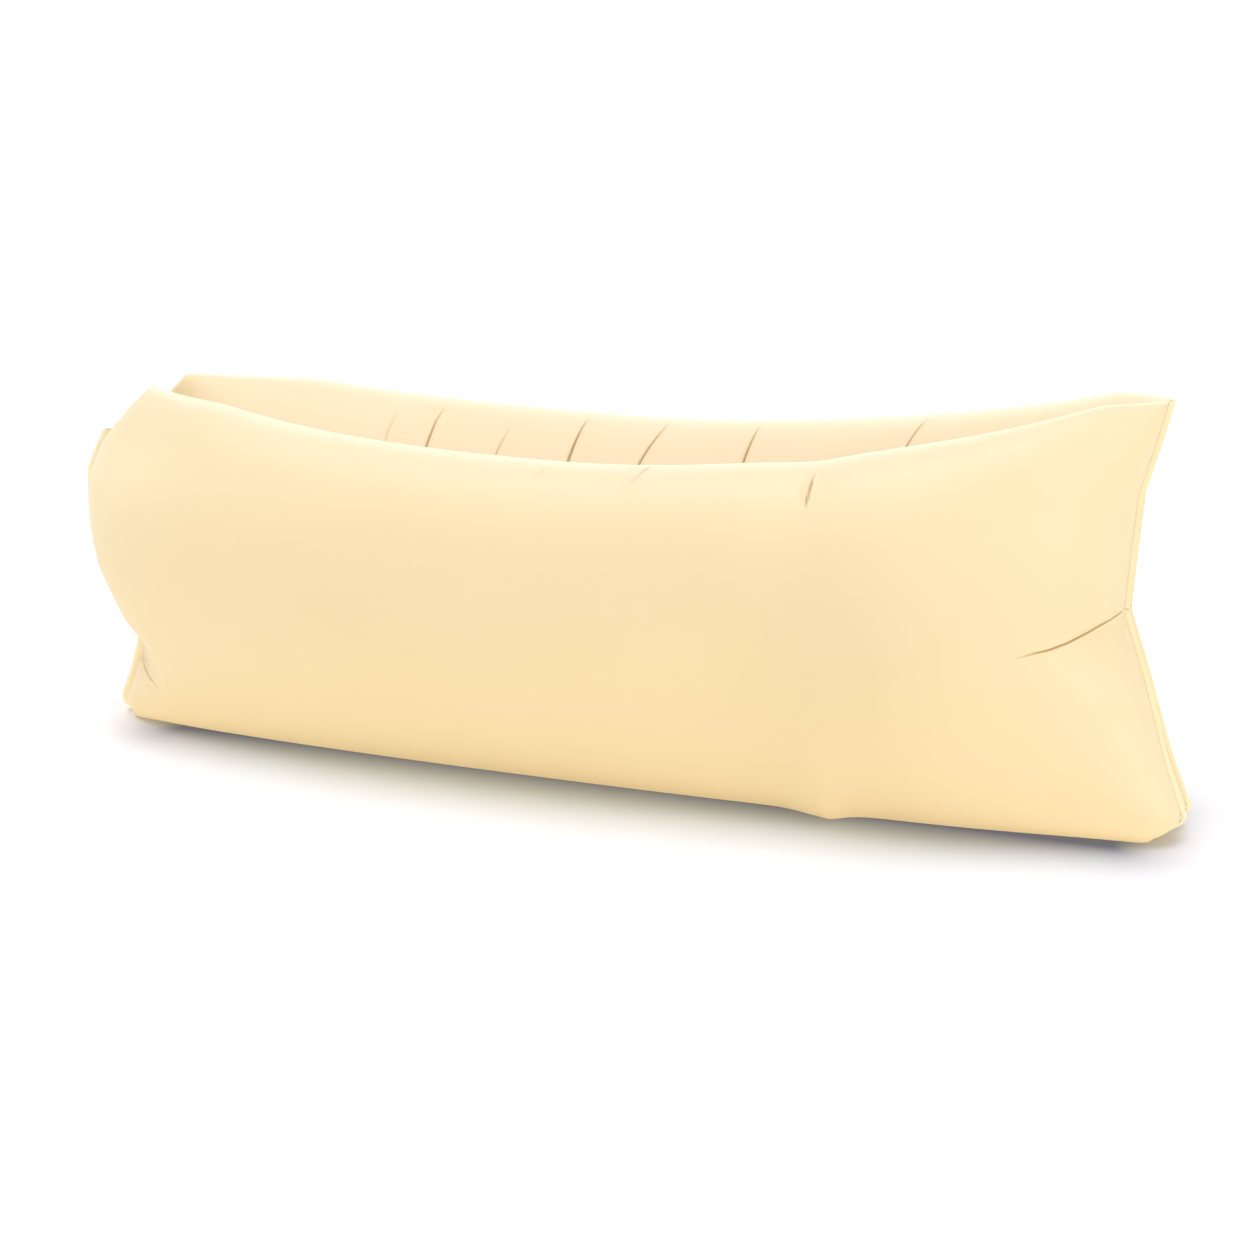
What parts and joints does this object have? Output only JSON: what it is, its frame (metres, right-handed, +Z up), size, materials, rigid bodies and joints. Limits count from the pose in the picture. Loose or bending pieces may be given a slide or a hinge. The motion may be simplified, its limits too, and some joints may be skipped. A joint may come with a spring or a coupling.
{
  "type": "inflatable air lounger",
  "caption": "Inflatable air lounger: long leaning air chambers joined side by side with a valley to lie in, hemmed head end and a rolled mouth clipped by a side-release buckle.",
  "frame": {"origin": "on the floor under the middle of the lounger's overall box", "axes": "+X along the lounger towards the higher hemmed head end, -X towards the rolled mouth, -Y the front chamber, +Y the rear chamber, +Z up"},
  "size_m": [1.9743, 0.6893, 0.706],
  "materials": {
    "cover_fabric": "pale butter yellow coated polyester with a soft sheen",
    "liner_film": "thin translucent polyethylene film",
    "seam_fabric": "folded binding and rolled fabric in the same yellow, a little darker",
    "batten_plastic": "white flexible plastic strip",
    "webbing": "woven polyester webbing",
    "buckle_plastic": "fine textured moulded acetal"
  },
  "bodies": {
    "lounger": {"front_cover": "cover_fabric", "rear_cover": "cover_fabric", "front_air_liner": "liner_film", "rear_air_liner": "liner_film", "valley_seam": "seam_fabric", "head_hem_front": "seam_fabric", "head_hem_rear": "seam_fabric", "mouth_roll": "seam_fabric", "mouth_batten_outer": "batten_plastic", "mouth_batten_inner": "batten_plastic", "strap_front": "webbing", "strap_rear": "webbing", "buckle_socket": "buckle_plastic"},
    "plug": {"buckle_plug": "buckle_plastic"},
    "prong_upper": {"buckle_prong_upper": "buckle_plastic"},
    "prong_lower": {"buckle_prong_lower": "buckle_plastic"}
  },
  "joints": [
    {"name": "plug_slide", "type": "slide", "parent": "lounger", "child": "plug", "axis": [0, 1, 0], "range_m": [0, 0.016], "deforming": ["strap_rear"]},
    {"name": "prong_upper_squeeze", "type": "hinge", "parent": "plug", "child": "prong_upper", "pos_m": [-0.95037, 0.0096, 0.50853], "axis": [1, 0, 0], "range_deg": [0, 18.5]},
    {"name": "prong_lower_squeeze", "type": "hinge", "parent": "plug", "child": "prong_lower", "pos_m": [-0.95037, 0.0096, 0.49153], "axis": [1, 0, 0], "range_deg": [-18.5, 0]}
  ],
  "couplings": [
    {"joint": "prong_upper_squeeze", "follows": "plug_slide", "rad_per_m": 20},
    {"joint": "prong_lower_squeeze", "follows": "plug_slide", "rad_per_m": -20}
  ]
}
